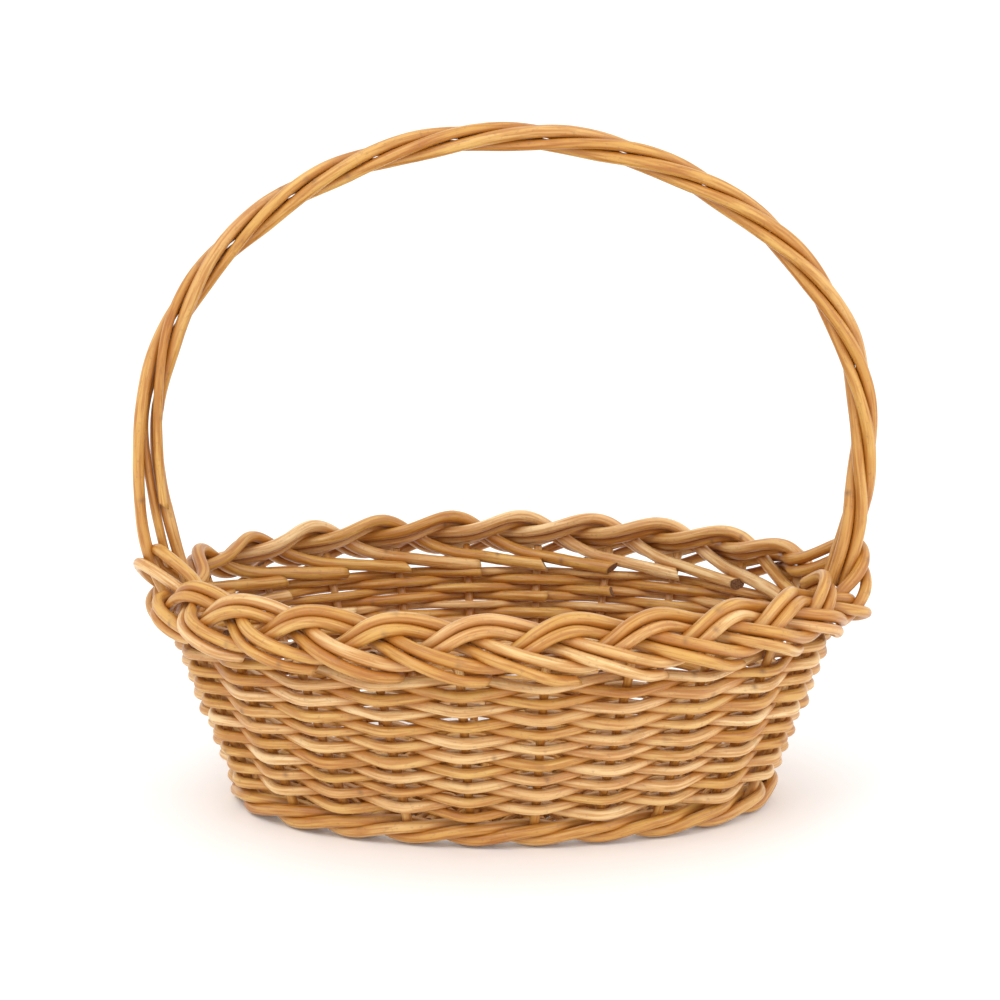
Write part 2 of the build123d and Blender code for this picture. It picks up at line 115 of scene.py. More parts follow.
# a rod's own unevenness: waves of thickness, leaf scars that swell it, drift of its tone
THICKNESS_WAVES = ((33.0, 0.022), (110.0, 0.035))
SCAR_SWELL, SCAR_SWELL_LENGTH, SCAR_TURN = 0.03, 1.6, 2.4
SCAR_LENGTH, SCAR_WIDTH, SCAR_RING = 1.1, 0.55, 0.06
TONE_LOW, TONE_HIGH, TONE_DRIFT, TONE_DRIFT_LENGTH = 0.15, 0.95, 0.10, 210.0
WANDER_LENGTHS, WANDER_SHARE = (170.0, 90.0, 48.0), 0.6
# painted shade from rods that lie beside a spot: how far they are felt, how fast that fades, how much
NEAR_REACH, NEAR_FADE, PAINTED_SHADE_GAIN = 10.0, 2.2, 0.42
# easing the handle and the border apart: reach of neighbours, spare room, eagerness, rounds
SETTLE_REACH, SETTLE_ROOM, SETTLE_PUSH = 18, 0.65, 1.2
SETTLE_STEP, STILL_STEP = 3.0, 2.0
HANDLE_ROUNDS, BORDER_ROUNDS = 60, 500
STAKE_TIP_FROM_Z, LEG_END_LOW_Z, LEG_END_HIGH_Z = 101, 96, 154


# ---- curves ----
TURNS = np.linspace(0, FULL, 1441)
ovals = {}


def oval_point(half_length, half_width, share):
    """Point of an ellipse at a share of its length, anticlockwise from +X, and its whole length."""
    key = (round(half_length, 6), round(half_width, 6))
    if key not in ovals:
        x, y = half_length * np.cos(TURNS), half_width * np.sin(TURNS)
        ovals[key] = x, y, np.concatenate([[0], np.cumsum(np.hypot(np.diff(x), np.diff(y)))])
    x, y, run = ovals[key]
    at = (share % 1.0) * run[-1]
    return np.interp(at, run, x), np.interp(at, run, y), run[-1]


def wall_half_sizes(z):
    rise = (z - FOOT_Z) / (STAKE_TIP_Z - FOOT_Z)
    return (FOOT_LENGTH / 2 + rise * (TOP_LENGTH - FOOT_LENGTH) / 2,
            FOOT_WIDTH / 2 + rise * (TOP_WIDTH - FOOT_WIDTH) / 2)


def wall_point(share, z):
    x, y, _ = oval_point(*wall_half_sizes(z), share)
    return np.array([x, y, z])


def wall_girth(z):
    return oval_point(*wall_half_sizes(z), 0)[2]


def unit(v):
    return v / np.linalg.norm(v)


def wall_out(share, z):
    along = wall_point(share + 0.001, z) - wall_point(share - 0.001, z)
    up = wall_point(share, z + 1) - wall_point(share, z - 1)
    return unit(np.cross(along, up))


def smooth(value):
    value = min(max(value, 0.0), 1.0)
    return value * value * (3 - 2 * value)


def resample(points, step):
    points = np.array(points, float)
    run = np.concatenate([[0], np.cumsum(np.linalg.norm(np.diff(points, axis=0), axis=1))])
    at = np.linspace(0, run[-1], max(3, int(run[-1] / step) + 1))
    return np.column_stack([np.interp(at, run, points[:, k]) for k in range(3)])


def supple(points, blur, step):
    """The corners of a line eased as a springy rod would take them, its ends kept."""
    fine = resample(points, 1.0)
    reach = int(3 * blur)
    if len(fine) < 2 * reach + 4:
        return resample(fine, step)
    weights = np.exp(-0.5 * (np.arange(-reach, reach + 1) / blur) ** 2)
    weights /= weights.sum()
    head = 2 * fine[0] - fine[1:reach + 1][::-1]
    tail = 2 * fine[-1] - fine[-reach - 1:-1][::-1]
    padded = np.vstack([head, fine, tail])
    eased = np.column_stack([np.convolve(padded[:, k], weights, "valid") for k in range(3)])
    return resample(eased, step)


def wander(points, amount):
    """Small slow bends that no two rods share."""
    run = np.concatenate([[0], np.cumsum(np.linalg.norm(np.diff(points, axis=0), axis=1))])
    shift = np.zeros_like(points)
    for length in WANDER_LENGTHS:
        for axis in range(3):
            swing = amount * rng.uniform(0.3, 1.0) * (length / WANDER_LENGTHS[0]) ** 0.5
            shift[:, axis] += swing * np.sin(FULL * run / length + rng.uniform(0, FULL))
    return points + shift * WANDER_SHARE


def eased(points, blur, step, amount):
    return wander(supple(points, blur, step), amount)


# ---- centre lines: base ----
def on_inset_oval(share, inset):
    x, y, _ = oval_point(FOOT_LENGTH / 2 - inset, FOOT_WIDTH / 2 - inset, share)
    return np.array([x, y, FOOT_Z])


def inset_point(index, inset, aside=0.0):
    here = on_inset_oval(index / STAKES, inset)
    inwards = unit(on_inset_oval(index / STAKES, inset + 1) - here)
    return here + np.array([inwards[1], -inwards[0], 0]) * aside


def ring_point(index, inset, aside):
    share = index / STAKES
    here = on_inset_oval(share, inset)
    inwards = unit(on_inset_oval(share, inset + 1) - here)
    girth = oval_point(FOOT_LENGTH / 2 - inset, FOOT_WIDTH / 2 - inset, 0)[2]
    along = unit(on_inset_oval(share + 0.001, inset) - on_inset_oval(share - 0.001, inset))
    square = abs(inwards[1] * along[0] - inwards[0] * along[1])
    return on_inset_oval(share + aside / square / girth, inset)


def foot_aside(inset):
    return FOOT_ASIDE * inset / FOOT_INSET


def stick_aside(inset):
    if inset <= FOOT_INSET:
        return foot_aside(inset) + STICK_ASIDE
    back = (inset - FOOT_INSET) / (STICK_STRAIGHT_INSET - FOOT_INSET)
    return (FOOT_ASIDE + STICK_ASIDE) * (1 - smooth(back))


def stick_end(index):
    near_end, before_foot, past_foot = STICK_BENDS
    insets = (STICK_END_INSET, near_end, before_foot, FOOT_INSET, past_foot, STICK_STRAIGHT_INSET,
              INNER_INSET)
    return [inset_point(index, inset, stick_aside(inset)) for inset in insets]


def long_stick_line(index):
    slit_x = inset_point(2, INNER_INSET)[0] + STICK_D
    y = index * SLIT_PITCH
    straight = [np.array([slit_x, y, FOOT_Z]), np.array([-slit_x, y, FOOT_Z])]
    return stick_end(index) + straight + stick_end(HALF - index)[::-1]


def cross_stick_line(index):
    return stick_end(index) + stick_end(-index)[::-1]


def base_weaver_line(order, first):
    points = []
    last = first + BASE_CROSSINGS
    for count in range(first, last + 1):
        inset = BASE_FIRST_INSET + BASE_ROUND_PITCH * (count / STAKES + order / 2)
        index = count % STAKES
        near_end = min(index % HALF, HALF - index % HALF) <= 1
        stick_r = (LONG_STICK_D if near_end else STICK_D) / 2
        if inset < FOOT_INSET + 6:
            thick = max(stick_r, STAKE_D / 2)
            middle = (foot_aside(inset) + stick_aside(inset)) / 2
            half = STICK_ASIDE / 2 + WEAVER_CLASP_OVER_PAIR
        else:
            thick = stick_r
            middle = stick_aside(inset)
            half = WEAVER_CLASP_OUTER if inset < INNER_INSET - 12 else WEAVER_CLASP_INNER
        lift = (thick + BASE_ROD_D / 2 + GAP + BASE_SLACK) * (1 if (count + order) % 2 else -1)
        shifts = [-half, half]
        if count == first:
            shifts = [WEAVER_END_GAP, half]
        if count == last:
            shifts = [-half, -WEAVER_END_GAP]
        for shift in shifts:
            points.append(ring_point(index, inset, middle + shift) + np.array([0, 0, lift]))
    return points


# ---- centre lines: wall ----
def stake_line(index):
    share = index / STAKES
    feet = [inset_point(index, inset, foot_aside(inset)) for inset in (FOOT_INSET, *STAKE_FOOT_BENDS)]
    rise = [wall_point(share, z) for z in (FOOT_Z, FOOT_Z + STAKE_BEND_RISE, STAKE_BEND_Z, STAKE_TIP_Z)]
    return feet + rise


def crossing(index, z):
    if index % HALF == 0 and z > LEG_FOOT_Z - 3:
        return LEG_OFFSET + LEG_CLASP, HANDLE_D / 2
    return ROW_CLASP, STAKE_D / 2


def row_lines(number):
    """The rods of one row of the wall; each butt lies inside the wall over the tip before it."""
    z = ROW_FIRST_Z + ROW_PITCH_Z * number
    girth = wall_girth(z)
    first = (5 * number + 1) % STAKES
    lines = []
    for begin, end in zip(ROW_RODS, ROW_RODS[1:]):
        points = []
        for count in range(first + begin, first + end + 1):
            half, thick = crossing(count, z)
            side = 1 if (count + number) % 2 == 0 else -1
            lift = side * (thick + ROW_D / 2 + GAP + ROW_SPRING)
            places = [(-half, lift), (0, lift), (half, lift)]
            if count == first + begin:
                places = [(-ROW_BUTT_BACK, lift - ROW_BUTT_IN), (0, lift - ROW_BUTT_LIES), (half + 1, lift)]
            if count == first + end:
                places = [(-half, lift), (ROW_TIP_PAST, lift)]
            for shift, out in places:
                share = count / STAKES + shift / girth
                dip = ROW_DIP if abs(shift) < half and side > 0 else 0
                here = wall_point(share, z - dip)
                points.append(here + unit(wall_out(share, z) * ROW_LEVEL) * out)
        lines.append(points)
    return lines


def wale_line(number):
    lift = STAKE_D / 2 + WALE_D / 2 + GAP + WALE_SLACK
    places = ((WALE_LOW_Z, lift), (WALE_HIGH_Z, lift), (WALE_BACK_Z, -lift))
    points = []
    first, last = WALE_STARTS[number], WALE_STARTS[number + 1]
    for count in range(first, last + 1):
        z, out = places[count % 3]
        girth = wall_girth(z)
        half = WALE_INSIDE_CLASP if out < 0 else WALE_OUTSIDE_CLASP
        shifts = [-half, half]
        if count == first:
            shifts = [WALE_END_GAP, half]
        if count == last:
            shifts = [-half, -WALE_END_GAP]
        for shift in shifts:
            share = count / STAKES + shift / girth
            level = wall_out(share, z) * np.array([1, 1, 0])
            points.append(wall_point(share, z) + unit(level) * out)
    return points


# ---- centre lines: handle ----
def handle_spine(steps):
    leg = []
    for z in np.linspace(HANDLE_ENTRY_Z, HANDLE_SPRING_Z, 60):
        drop = (HANDLE_SPRING_Z - z) / (HANDLE_SPRING_Z - HANDLE_ENTRY_Z)
        leg.append((-HANDLE_HALF_WIDTH + HANDLE_LEG_DRAW * drop ** 2, z))
    turns = np.linspace(math.pi, math.pi / 2, 200)[1:]
    arch = [(HANDLE_HALF_WIDTH * math.cos(t), HANDLE_SPRING_Z + HANDLE_RISE * math.sin(t))
            for t in turns]
    left = np.array(leg + arch)
    line = np.vstack([left, left[::-1][1:] * np.array([-1, 1])])
    line[:, 0] += [HANDLE_LEAN * smooth((z - HANDLE_ENTRY_Z) / HANDLE_LEAN_RISE) for z in line[:, 1]]
    run = np.concatenate([[0], np.cumsum(np.hypot(*np.diff(line, axis=0).T))])
    at = np.linspace(0, run[-1], steps)
    return np.column_stack([np.interp(at, run, line[:, 0]), np.interp(at, run, line[:, 1])]), at


def leg_foot(side, y):
    centre = 0.0 if side > 0 else 0.5
    return [wall_point(centre + side * y / wall_girth(z), z) for z in (LEG_FOOT_Z, *LEG_BENDS_Z)]


def handle_rod_line(number, steps=64):
    spine, at = handle_spine(steps)
    points = []
    for k in range(steps):
        ahead = spine[min(k + 1, steps - 1)] - spine[max(k - 1, 0)]
        ahead = ahead / np.hypot(*ahead)
        outward = np.array([-ahead[1], 0, ahead[0]])
        turn = LAY_START + FULL * at[k] / HANDLE_LAY + number * FULL / 4
        roped = np.array([math.sin(turn), -math.cos(turn)]) * HANDLE_ROPE_R
        to_left = 1 - smooth(at[k] / ROPE_LEFT)
        to_right = 1 - smooth((at[-1] - at[k]) / ROPE_RIGHT)
        bow = LEFT_BOW[number] * math.sin(math.pi * min(at[k] / ROPE_LEFT, 1))
        left = np.array(LEFT_STANCE[number]) + np.array([bow, 0])
        right = np.array(RIGHT_STANCE[number])
        out, aside = roped * (1 - to_left - to_right) + left * to_left + right * to_right
        here = np.array([spine[k][0], 0, spine[k][1]])
        points.append(here + outward * out + np.array([0, aside, 0]))
    half = steps // 2
    points = [p for k, p in enumerate(points) if k > half or p[2] > LEFT_STOP_Z[number]]
    half = len(points) - half
    points = [p for k, p in enumerate(points) if k < half or p[2] > RIGHT_STOP_Z[number]]
    if LEFT_STOP_Z[number] == 0:
        points = leg_foot(-1, math.copysign(LEG_OFFSET, LEFT_STANCE[number][1])) + points
    if RIGHT_STOP_Z[number] == 0:
        points = points + leg_foot(1, math.copysign(LEG_OFFSET, RIGHT_STANCE[number][1]))[::-1]
    return points


# ---- centre lines: border ----
def border_place(share, across, thick):
    centre = wall_point(share, BORDER_Z)
    ahead = wall_point(share + 0.001, BORDER_Z) - wall_point(share - 0.001, BORDER_Z)
    out = unit(np.array([ahead[1], -ahead[0], 0]))
    up = np.array([0, 0, 1.0])
    tilt = math.radians(BORDER_TILT)
    width = -out * math.cos(tilt) + up * math.sin(tilt)
    face = out * math.sin(tilt) + up * math.cos(tilt)
    return centre + out * BORDER_OUT + width * across + face * thick


def border_rod_line(index):
    """Centre line of the border rod whose butt lies inside stake `index`."""
    spacing = wall_girth(BORDER_Z) / STAKES
    at, lane_across, lane_thick, lane_share = np.array(LANE).T
    points = []
    for steps in np.arange(at[0], at[-1], BORDER_STEP / spacing):
        cycles = (steps - BORDER_JOINS) / 3
        turn = FULL * (cycles + 0.75)
        swing = math.tanh(BORDER_FLAT * math.cos(turn)) / math.tanh(BORDER_FLAT)
        fellow = BORDER_PAIR * (1 - 2 * smooth((cycles - FELLOW_SWAPS) / FELLOW_SWAP_LENGTH))
        keeps = np.interp(steps, at, lane_share)
        across = (BORDER_REACH * swing + fellow) * (1 - keeps) + np.interp(steps, at, lane_across) * keeps
        thick = -BORDER_THICK * math.sin(2 * turn) * (1 - keeps) + np.interp(steps, at, lane_thick) * keeps
        for ahead, draw, lift in LEG_DRAWS:
            if (index + ahead) % HALF == 0:
                near = 1 - smooth((abs(steps - ahead) - LEG_DRAW_FLAT) / LEG_DRAW_FADE)
                thick += draw * near
                across += lift * near
        points.append(border_place((index + steps) / STAKES, across, thick))
    return np.array(points)


def settle(lines, radius, still, still_radius, rounds):
    """Let rods that press into each other, or into fixed ones, move apart a little at a time."""
    spots = np.vstack(lines)
    owner = np.repeat(np.arange(len(lines)), [len(line) for line in lines])
    home = spots.copy()
    everything = np.vstack([spots, still])
    size = np.concatenate([np.full(len(spots), radius), still_radius])
    label = np.concatenate([owner, np.full(len(still), -1)])
    near_i, near_j = [], []
    for i in range(len(spots)):
        away = np.linalg.norm(everything[i + 1:] - spots[i], axis=1)
        close = np.where((away < SETTLE_REACH) & (label[i + 1:] != owner[i]))[0] + i + 1
        near_i.append(np.full(len(close), i))
        near_j.append(close)
    i, j = np.concatenate(near_i), np.concatenate(near_j)
    need = size[i] + size[j] + GAP + SETTLE_ROOM
    loose = j < len(spots)
    both = np.where(loose, 0.5, 1.0)
    for _ in range(rounds):
        everything[:len(spots)] = spots
        apart = everything[i] - everything[j]
        away = np.linalg.norm(apart, axis=1)
        short = np.clip(need - away, 0, 1.0)
        move = apart / away[:, None] * (short * both)[:, None]
        push = np.zeros_like(spots)
        weight = np.full(len(spots), 1e-6)
        np.add.at(push, i, move)
        np.add.at(weight, i, (short > 0) * 1.0)
        np.add.at(push, j[loose], -move[loose])
        np.add.at(weight, j[loose], (short[loose] > 0) * 1.0)
        shift = spots + push / np.maximum(weight, 1)[:, None] * SETTLE_PUSH - home
        for number in range(len(lines)):
            mine = owner == number
            one = shift[mine]
            even = one.copy()
            even[1:-1] = (one[:-2] + one[2:] + 2 * one[1:-1]) / 4
            even[0] = (one[0] + one[1]) / 2
            even[-1] = (one[-1] + one[-2]) / 2
            shift[mine] = even
        spots = home + shift
    return [spots[owner == n] for n in range(len(lines))]


handle_lines = [resample(handle_rod_line(n), SETTLE_STEP) for n in range(4)]
handle_lines = settle(handle_lines, HANDLE_D / 2, np.zeros((0, 3)), np.zeros(0), HANDLE_ROUNDS)
border_lines = [border_rod_line(n) for n in range(STAKES)]
tips = [resample([wall_point(n / STAKES, STAKE_TIP_FROM_Z), wall_point(n / STAKES, STAKE_TIP_Z)],
                 STILL_STEP)
        for n in range(STAKES)]
ends = [resample(line, STILL_STEP) for line in handle_lines]
ends = [line[(line[:, 2] > LEG_END_LOW_Z) & (line[:, 2] < LEG_END_HIGH_Z)] for line in ends]
still_size = np.concatenate([np.full(sum(map(len, tips)), STAKE_D / 2),
                             np.full(sum(map(len, ends)), HANDLE_D / 2)])
border_lines = settle(border_lines, BORDER_D / 2, np.vstack(tips + ends), still_size,
                      BORDER_ROUNDS)


# ---- materials ----
def node(tree, kind, **settings):
    made = tree.nodes.new(kind)
    for name, value in settings.items():
        setattr(made, name, value)
    return made


def attribute(tree, name):
    return node(tree, "ShaderNodeAttribute", attribute_name=name)


def streaks(tree, scale, detail, stretch):
    """Noise in the rod's own straightened space, drawn out along it."""
    grain = attribute(tree, "grain")
    pull = node(tree, "ShaderNodeMapping")
    pull.inputs["Scale"].default_value = stretch
    noise = node(tree, "ShaderNodeTexNoise")
    noise.inputs["Scale"].default_value = scale
    noise.inputs["Detail"].default_value = detail
    tree.links.new(grain.outputs["Vector"], pull.inputs["Vector"])
    tree.links.new(pull.outputs["Vector"], noise.inputs["Vector"])
    return noise


def ramp(tree, source, stops):
    made = node(tree, "ShaderNodeValToRGB")
    line = made.color_ramp
    while len(line.elements) < len(stops):
        line.elements.new(0.5)
    for element, (place, colour) in zip(line.elements, stops):
        element.position = place
        element.color = (*colour, 1)
    tree.links.new(source, made.inputs["Fac"])
    return made


def mix(tree, factor, a, b, mode="MIX"):
    made = node(tree, "ShaderNodeMix", data_type="RGBA", blend_type=mode)
    if isinstance(factor, float):
        made.inputs["Factor"].default_value = factor
    else:
        tree.links.new(factor, made.inputs["Factor"])
    for socket, value in ((made.inputs["A"], a), (made.inputs["B"], b)):
        if isinstance(value, tuple):
            socket.default_value = (*value, 1)
        else:
            tree.links.new(value, socket)
    return made.outputs["Result"]


def scaled(tree, source, low, high):
    made = node(tree, "ShaderNodeMapRange")
    made.inputs["To Min"].default_value = low
    made.inputs["To Max"].default_value = high
    tree.links.new(source, made.inputs["Value"])
    return made.outputs["Result"]


def times(tree, a, b):
    made = node(tree, "ShaderNodeMath", operation="MULTIPLY")
    tree.links.new(a, made.inputs[0])
    if isinstance(b, float):
        made.inputs[1].default_value = b
    else:
        tree.links.new(b, made.inputs[1])
    return made.outputs[0]


def add_bump(tree, height, shader, strength, distance):
    bump = node(tree, "ShaderNodeBump")
    bump.inputs["Strength"].default_value = strength
    bump.inputs["Distance"].default_value = distance
    tree.links.new(height, bump.inputs["Height"])
    tree.links.new(bump.outputs["Normal"], shader.inputs["Normal"])


PALE, HONEY, AMBER = (0.83, 0.61, 0.33), (0.66, 0.395, 0.105), (0.55, 0.27, 0.045)
KNOT, CUT_DARK, CUT_PITH = (0.20, 0.085, 0.03), (0.11, 0.05, 0.022), (0.33, 0.17, 0.08)
PAINTED_SHADE_COLOUR, DARK_FIBRE, DULL_PATCH = (0.42, 0.145, 0.014), (0.66, 0.43, 0.19), (0.78, 0.56, 0.34)
WHITE = (1, 1, 1)
HONEY_AT = 0.42
# noise per metre along the rod, and across it
FIBRE, PATCH, SPECK, RINGS = ((40.0, 700.0, 700.0), (14.0, 70.0, 70.0), (420.0, 620.0, 620.0),
                              (300.0, 1300.0, 1300.0))
FIBRE_SHARE, PATCH_SHARE, WARMTH_SHARE, PAINTED_SHADE_SHARE, SPECK_SHARE, SCAR_SHARE = (
    0.80, 0.65, 0.35, 0.85, 0.30, 0.80)
ROUGH_BETWEEN, ROUGH_ON_FIBRE, CUT_ROUGH = 0.50, 0.34, 0.75


def willow(name, warmth):
    """Clear varnished peeled willow: long fibres, a tone for each rod, dark leaf scars, and painted shade
    where other rods lie close.
    """
    material = bpy.data.materials.new(name)
    material.use_nodes = True
    tree = material.node_tree
    shader = tree.nodes["Principled BSDF"]
    tone = attribute(tree, "tone").outputs["Fac"]
    body = ramp(tree, tone, ((0.0, AMBER), (HONEY_AT, HONEY), (1.0, PALE))).outputs["Color"]
    fibre = streaks(tree, 1.0, 5.0, FIBRE).outputs["Fac"]
    dark_fibre = ramp(tree, fibre, ((0.40, DARK_FIBRE), (0.57, WHITE))).outputs["Color"]
    colour = mix(tree, FIBRE_SHARE, body, dark_fibre, "MULTIPLY")
    patch = streaks(tree, 1.0, 3.0, PATCH).outputs["Fac"]
    blotch = ramp(tree, patch, ((0.34, DULL_PATCH), (0.60, WHITE))).outputs["Color"]
    colour = mix(tree, PATCH_SHARE, colour, blotch, "MULTIPLY")
    colour = mix(tree, WARMTH_SHARE, colour, warmth, "MULTIPLY")
    # painted shade: the surface turns dark orange-brown where other rods lie close and face it
    painted_shade_mask = attribute(tree, "painted_shade").outputs["Fac"]
    colour = mix(tree, times(tree, painted_shade_mask, PAINTED_SHADE_SHARE), colour, PAINTED_SHADE_COLOUR)
    scar = attribute(tree, "knot").outputs["Fac"]
    speck = streaks(tree, 1.0, 2.0, SPECK).outputs["Fac"]
    spotted = ramp(tree, speck, ((0.60, (0, 0, 0)), (0.72, WHITE))).outputs["Color"]
    colour = mix(tree, times(tree, spotted, SPECK_SHARE), colour, KNOT)
    colour = mix(tree, times(tree, scar, SCAR_SHARE), colour, KNOT)
    tree.links.new(colour, shader.inputs["Base Color"])
    tree.links.new(scaled(tree, fibre, ROUGH_BETWEEN, ROUGH_ON_FIBRE), shader.inputs["Roughness"])
    shader.inputs["Coat Weight"].default_value = 0.30
    shader.inputs["Coat Roughness"].default_value = 0.36
    shader.inputs["Specular IOR Level"].default_value = 0.45
    add_bump(tree, fibre, shader, 0.35, 0.00035)
    return material


def cut_end(name):
    """The sawn or sliced end of a rod: dark weathered wood around a paler pith."""
    material = bpy.data.materials.new(name)
    material.use_nodes = True
    tree = material.node_tree
    shader = tree.nodes["Principled BSDF"]
    rings = streaks(tree, 1.0, 4.0, RINGS).outputs["Fac"]
    colour = ramp(tree, rings, ((0.35, CUT_DARK), (0.68, CUT_PITH))).outputs["Color"]
    tree.links.new(colour, shader.inputs["Base Color"])
    shader.inputs["Roughness"].default_value = CUT_ROUGH
    add_bump(tree, rings, shader, 0.6, 0.0004)
    return material


# ---- rods as meshes ----
def frames_along(points):
    """Two unit directions across the line at each point, carried along without twist."""
    ahead = np.gradient(points, axis=0)
    ahead /= np.linalg.norm(ahead, axis=1)[:, None]
    across = np.zeros_like(points)
    first = np.cross(ahead[0], [0.0, 0.0, 1.0])
    if np.linalg.norm(first) < 0.2:
        first = np.cross(ahead[0], [0.0, 1.0, 0.0])
    across[0] = unit(first)
    for k in range(1, len(points)):
        carried = across[k - 1] - ahead[k] * np.dot(across[k - 1], ahead[k])
        across[k] = unit(carried)
    return ahead, across, np.cross(ahead, across)


class RodMesh:
    """Collects the rods that stand for one CAD node."""

    def __init__(self):
        self.spots, self.faces, self.materials = [], [], []
        self.grain, self.tone, self.knot, self.painted_shade = [], [], [], []
        self.count = 0

    def add(self, points, butt_r, tip_r, sides=16, tone=None, slant=0.35, knots=60.0, beside=None):
        """A rod from butt to tip, its thickness falling evenly, with knots and sliced ends."""
        ahead, across, over = frames_along(points)
        run = np.concatenate([[0], np.cumsum(np.linalg.norm(np.diff(points, axis=0), axis=1))])
        radius = butt_r + (tip_r - butt_r) * run / run[-1]
        for length, swing in THICKNESS_WAVES:
            radius = radius * (1 + swing * np.sin(FULL * run / length + rng.uniform(0, FULL)))
        scar_angle = rng.uniform(0, FULL)
        place = rng.uniform(0.2, 1.0) * knots
        spots_at = []
        while place < run[-1] - 4:
            near = np.exp(-((run - place) / SCAR_SWELL_LENGTH) ** 2)
            radius = radius * (1 + SCAR_SWELL * near)
            spots_at.append((place, scar_angle))
            scar_angle += SCAR_TURN
            place += knots * rng.uniform(0.6, 1.4)
        angles = np.arange(sides) * FULL / sides
        round_x, round_y = np.cos(angles), np.sin(angles)
        ring = (across[:, None, :] * round_x[None, :, None] + over[:, None, :] * round_y[None, :, None])
        body = points[:, None, :] + ring * radius[:, None, None]
        lean = rng.uniform(0, FULL)
        tilt = np.cos(angles - lean)[:, None] * slant
        body[0] += ahead[0] * tilt * radius[0]
        body[-1] += ahead[-1] * tilt * radius[-1]
        body = np.vstack([body.reshape(-1, 3), points[:1], points[-1:]])
        start = self.count
        rings = len(points)
        for k in range(rings - 1):
            a = start + k * sides
            for s in range(sides):
                t = (s + 1) % sides
                self.faces.append((a + s, a + t, a + sides + t, a + sides + s))
        self.materials += [0] * (sides * (rings - 1))
        head, tail = start + rings * sides, start + rings * sides + 1
        last = start + (rings - 1) * sides
        for s in range(sides):
            t = (s + 1) % sides
            self.faces.append((head, start + t, start + s))
            self.faces.append((tail, last + s, last + t))
        self.materials += [1] * (2 * sides)
        shift = rng.uniform(-5, 5, 3)
        along = np.repeat(run, sides)
        grain = np.column_stack([along, np.tile(round_x, rings) * np.repeat(radius, sides),
                                 np.tile(round_y, rings) * np.repeat(radius, sides)]) * MM
        grain = np.vstack([grain, [[0, 0, 0], [run[-1] * MM, 0, 0]]]) + shift
        scar = np.zeros(rings * sides)
        for where, angle in spots_at:
            near = np.exp(-((run - where) / SCAR_LENGTH) ** 2)
            facing = np.exp(-(((angles - angle + math.pi) % FULL - math.pi) / SCAR_WIDTH) ** 2)
            mark = near[:, None] * (SCAR_RING + (1 - SCAR_RING) * facing[None, :])
            scar = np.maximum(scar, mark.ravel())
        level = rng.uniform(TONE_LOW, TONE_HIGH) if tone is None else tone
        drift = TONE_DRIFT * np.sin(FULL * run / TONE_DRIFT_LENGTH + rng.uniform(0, FULL))
        tones = np.clip(level + np.repeat(drift, sides), 0, 1)
        # painted shade: how far each side of the ring faces rods lying close beside it
        painted_shade_here = np.zeros((rings, sides))
        for k, (ways, weights) in enumerate(beside):
            facing = np.clip(ring[k] @ ways.T, 0, 1) ** 2
            painted_shade_here[k] = np.clip((facing * weights).sum(axis=1) * PAINTED_SHADE_GAIN, 0, 1)
        painted_shade_here = painted_shade_here.ravel()
        self.spots.append(body)
        self.grain.append(grain)
        self.tone.append(np.append(tones, [level, level]))
        self.knot.append(np.append(scar, [0, 0]))
        self.painted_shade.append(np.append(painted_shade_here, [0, 0]))
        self.count += len(body)

    def finish(self, name, nodes, skin, end):
        mesh = bpy.data.meshes.new(name)
        mesh.from_pydata((np.vstack(self.spots) * MM).tolist(), [], self.faces)
        mesh.materials.append(skin)
        mesh.materials.append(end)
        mesh.polygons.foreach_set("material_index", self.materials)
        mesh.polygons.foreach_set("use_smooth", [index == 0 for index in self.materials])
        grain = mesh.attributes.new("grain", "FLOAT_VECTOR", "POINT")
        grain.data.foreach_set("vector", np.vstack(self.grain).astype(np.float32).ravel())
        for key, values in (("tone", self.tone), ("knot", self.knot), ("painted_shade", self.painted_shade)):
            layer = mesh.attributes.new(key, "FLOAT", "POINT")
            layer.data.foreach_set("value", np.concatenate(values).astype(np.float32))
        mesh.update()
        piece = bpy.data.objects.new(name, mesh)
        bpy.context.scene.collection.objects.link(piece)
        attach(piece, "root")
        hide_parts(*nodes)
        return piece


def crowding(rods):
    """For every rod, for each of its points: directions and weights of the rods beside it, which set the
    painted shade between rods.
    """
    count = sum(len(rod["points"]) for rod in rods)
    tree = KDTree(count)
    owners, radii, spots = [], [], []
    for number, rod in enumerate(rods):
        for point in rod["points"]:
            tree.insert(point, len(owners))
            owners.append(number)
            radii.append((rod["butt_r"] + rod["tip_r"]) / 2)
            spots.append(point)
    tree.balance()
    owners, radii, spots = np.array(owners), np.array(radii), np.array(spots)
    place = 0
    for number, rod in enumerate(rods):
        beside = []
        for point in rod["points"]:
            near = [item[1] for item in tree.find_range(point, NEAR_REACH)]
            near = [k for k in near if owners[k] != number]
            way = spots[near] - point if near else np.zeros((0, 3))
            away = np.linalg.norm(way, axis=1) + 1e-6
            gap = np.maximum(away - radii[place] - radii[near], 0) if near else away
            beside.append((way / away[:, None], np.exp(-gap / NEAR_FADE)))
            place += 1
        rod["beside"] = beside


def above_floor(points, radius):
    points[:, 2] = np.maximum(points[:, 2], radius + 0.05)
    return points


cut = cut_end("willow_cut_end")
skins = {
    "stake_willow": willow("willow_stake", (1.0, 0.90, 0.76)),
    "weave_willow": willow("willow_weave", (1.0, 0.93, 0.82)),
    "border_willow": willow("willow_border", (1.0, 0.94, 0.84)),
    "handle_willow": willow("willow_handle", (1.0, 0.89, 0.74)),
    "base_willow": willow("willow_base", (1.0, 0.90, 0.78)),
}


pieces = []


def plan(node_name, slot, rods):
    pieces.append((node_name, slot, rods))


for n in range(HALF):
    rods = []
    for k in (n, n + HALF):
        line = eased(stake_line(k), *STAKE_EASE)
        rods.append(dict(points=line, **STAKE_LOOK))
    plan(f"stake_pair_{n + 1:02d}", "stake_willow", rods)

